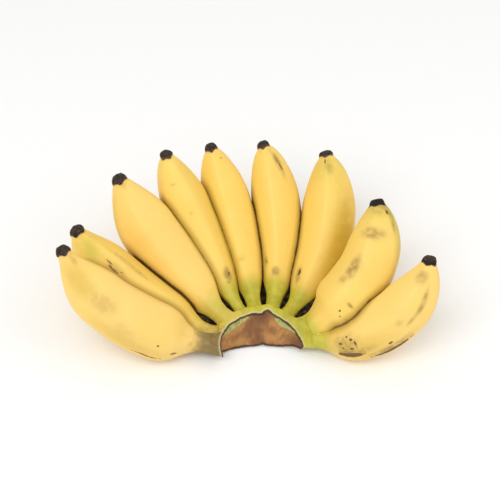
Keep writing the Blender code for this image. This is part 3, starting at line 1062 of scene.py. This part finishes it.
    def paint_cut(self, face, rim):
        """Paints the distance from the rim, the two green slivers and the shade under the tongue, at the
        right and below.
        """
        points = points_of(face)
        inside = self.rim_distance(points, rim)
        local = (points - CROWN_MIDDLE) / MM
        height = local[:, 2]
        around = np.arctan2(local[:, 0] / CUT_OVAL[0], local[:, 1] / CUT_OVAL[1])
        turn = np.degrees(around)
        sliver = np.zeros(len(points))
        for middle, half, thick in SLIVERS:
            share = np.clip(1 - ((turn - middle) / half) ** 2, 0.0, 1.0)
            band = 1 - smooth_step(0.7, 1.0, inside / (0.3 + thick * share))
            sliver = np.maximum(sliver, band * smooth_step(9.0, 12.0, height))
        # Painted shade: darker under the tongue of skin, toward the right end and along the foot of the cut.
        tongue = 0.75 * np.exp(-(((turn - 2.0) / 20.0) ** 2)) * smooth_step(9.5, 15.0, height)
        right_end = 0.85 * smooth_step(42.0, 80.0, turn)
        below = 0.7 * (1 - smooth_step(0.5, 4.5, height)) * smooth_step(-25.0, 10.0, turn)
        paint(face, "rim", inside)
        paint(face, "sliver", sliver)
        paint(face, "shade", np.maximum(np.maximum(tongue, right_end), below))
        layer = face.data.uv_layers.new(name="OFBake")
        low, high = CUT_LOW_RAIL[2], CUT_HIGH_RAIL[2]
        sweep = around / (2 * CUT_SWEEP) + 0.5
        height = (height - low) / (high - low)
        flat = []
        for loop in face.data.loops:
            flat += [sweep[loop.vertex_index], height[loop.vertex_index]]
        layer.data.foreach_set("uv", flat)


class MESH_OT_banana_webs(bpy.types.Operator):
    """Builds the nearly black sheets that fill the gaps between the necks with painted shade"""

    bl_idname = "mesh.banana_webs"
    bl_label = "Dried webs"

    def execute(self, context):
        sizes = context.scene.banana_sizes
        material = shared_material("gap_shade_sheet", gap_shade_material, context.scene.banana_colours)
        t = np.linspace(sizes.gap_shade_start, sizes.gap_shade_end, 24)
        share = np.linspace(0.0, 1.0, 15)
        # Each sheet sags under the gap between two necks and stands for the deep shade there.
        for number, (left, right) in enumerate(SHADED_GAPS, start=1):
            start, _, _ = centreline(FINGERS[left - 1], t)
            end, _, _ = centreline(FINGERS[right - 1], t)
            top = start[:, None, :] * (1 - share[:, None]) + end[:, None, :] * share[:, None]
            ripple = noise_at(top.reshape(-1, 3), 300.0, number).reshape(top.shape[:2])
            sag = sizes.gap_shade_depth * (0.5 + 4 * share * (1 - share))
            top[..., 2] -= sag[None, :] + 0.5 * MM * ripple
            under = top.copy()
            under[..., 2] -= sizes.gap_shade_thickness
            top[..., 2] = np.maximum(top[..., 2], 0.2 * MM)
            under[..., 2] = np.maximum(under[..., 2], 0.1 * MM)
            rings = np.concatenate([top, under[:, ::-1]], axis=1)
            dress(capped_tube(f"gap_shade_sheet_{number}", rings, [material]))
        return {"FINISHED"}


class MESH_OT_banana_stage(bpy.types.Operator):
    """Lays the pale floor, hangs the soft lights and stands the camera"""

    bl_idname = "mesh.banana_stage"
    bl_label = "Stage"

    def execute(self, context):
        studio = context.scene.banana_studio
        half = studio.floor_size / 2
        corners = [(-half, -half, 0.0), (half, -half, 0.0), (half, half, 0.0), (-half, half, 0.0)]
        floor = mesh_object("studio_floor", corners, [(0, 1, 2, 3)], [floor_material(studio.floor_colour)])
        world = context.scene.world or bpy.data.worlds.new("studio")
        context.scene.world = world
        world.use_nodes = True
        sky = world.node_tree.nodes["Background"]
        sky.inputs["Color"].default_value = (1.0, 1.0, 1.0, 1.0)
        sky.inputs["Strength"].default_value = studio.sky
        self.light("key_light", (-0.45, -0.75, 1.25), 1.0, studio.key, studio.aim)
        self.light("fill_light", (0.9, -0.2, 0.9), 0.9, studio.fill, studio.aim)
        self.camera(context, studio)
        context.scene.view_settings.view_transform = "Standard"
        return {"FINISHED"}

    def light(self, name, place, size, power, aim):
        data = bpy.data.lights.new(name, "AREA")
        data.size = size
        data.energy = power
        lamp = bpy.data.objects.new(name, data)
        lamp.location = place
        lamp.rotation_euler = (Vector(aim) - Vector(place)).to_track_quat("-Z", "Y").to_euler()
        bpy.context.scene.collection.objects.link(lamp)

    def camera(self, context, studio):
        data = bpy.data.cameras.new("camera")
        data.lens = studio.lens
        data.sensor_width = 36.0
        camera = bpy.data.objects.new("camera", data)
        level = studio.distance * math.cos(studio.elevation)
        away = Vector((level * math.sin(studio.azimuth), -level * math.cos(studio.azimuth),
                       studio.distance * math.sin(studio.elevation)))
        camera.location = Vector(studio.aim) + away
        camera.rotation_euler = (-away).to_track_quat("-Z", "Y").to_euler()
        context.scene.collection.objects.link(camera)
        context.scene.camera = camera


class VIEW3D_PT_banana_hand(bpy.types.Panel):
    """Lists the steps that build the hand of bananas"""

    bl_idname = "VIEW3D_PT_banana_hand"
    bl_label = "Banana Hand"
    bl_space_type = "VIEW_3D"
    bl_region_type = "UI"
    bl_category = "Bananas"

    def draw(self, context):
        layout = self.layout
        for operator in OPERATORS:
            layout.operator(operator.bl_idname)
        for group in SETTINGS:
            settings = getattr(context.scene, group)
            box = layout.box()
            for name in settings.__annotations__:
                box.prop(settings, name)


OPERATORS = (
    MESH_OT_banana_stage,
    MESH_OT_banana_fingers,
    MESH_OT_banana_stubs,
    MESH_OT_banana_crown,
    MESH_OT_banana_webs,
)
SETTINGS = {"banana_colours": BananaColours, "banana_sizes": BananaSizes, "banana_studio": StudioSettings}
CLASSES = (*SETTINGS.values(), *OPERATORS, VIEW3D_PT_banana_hand)


def register():
    for cls in CLASSES:
        bpy.utils.register_class(cls)
    for name, group in SETTINGS.items():
        setattr(bpy.types.Scene, name, bpy.props.PointerProperty(type=group))


def unregister():
    for name in SETTINGS:
        delattr(bpy.types.Scene, name)
    for cls in reversed(CLASSES):
        bpy.utils.unregister_class(cls)


def main():
    register()
    bpy.ops.mesh.banana_stage()
    bpy.ops.mesh.banana_fingers()
    bpy.ops.mesh.banana_stubs()
    bpy.ops.mesh.banana_crown()
    bpy.ops.mesh.banana_webs()


if __name__ == "__main__":
    main()
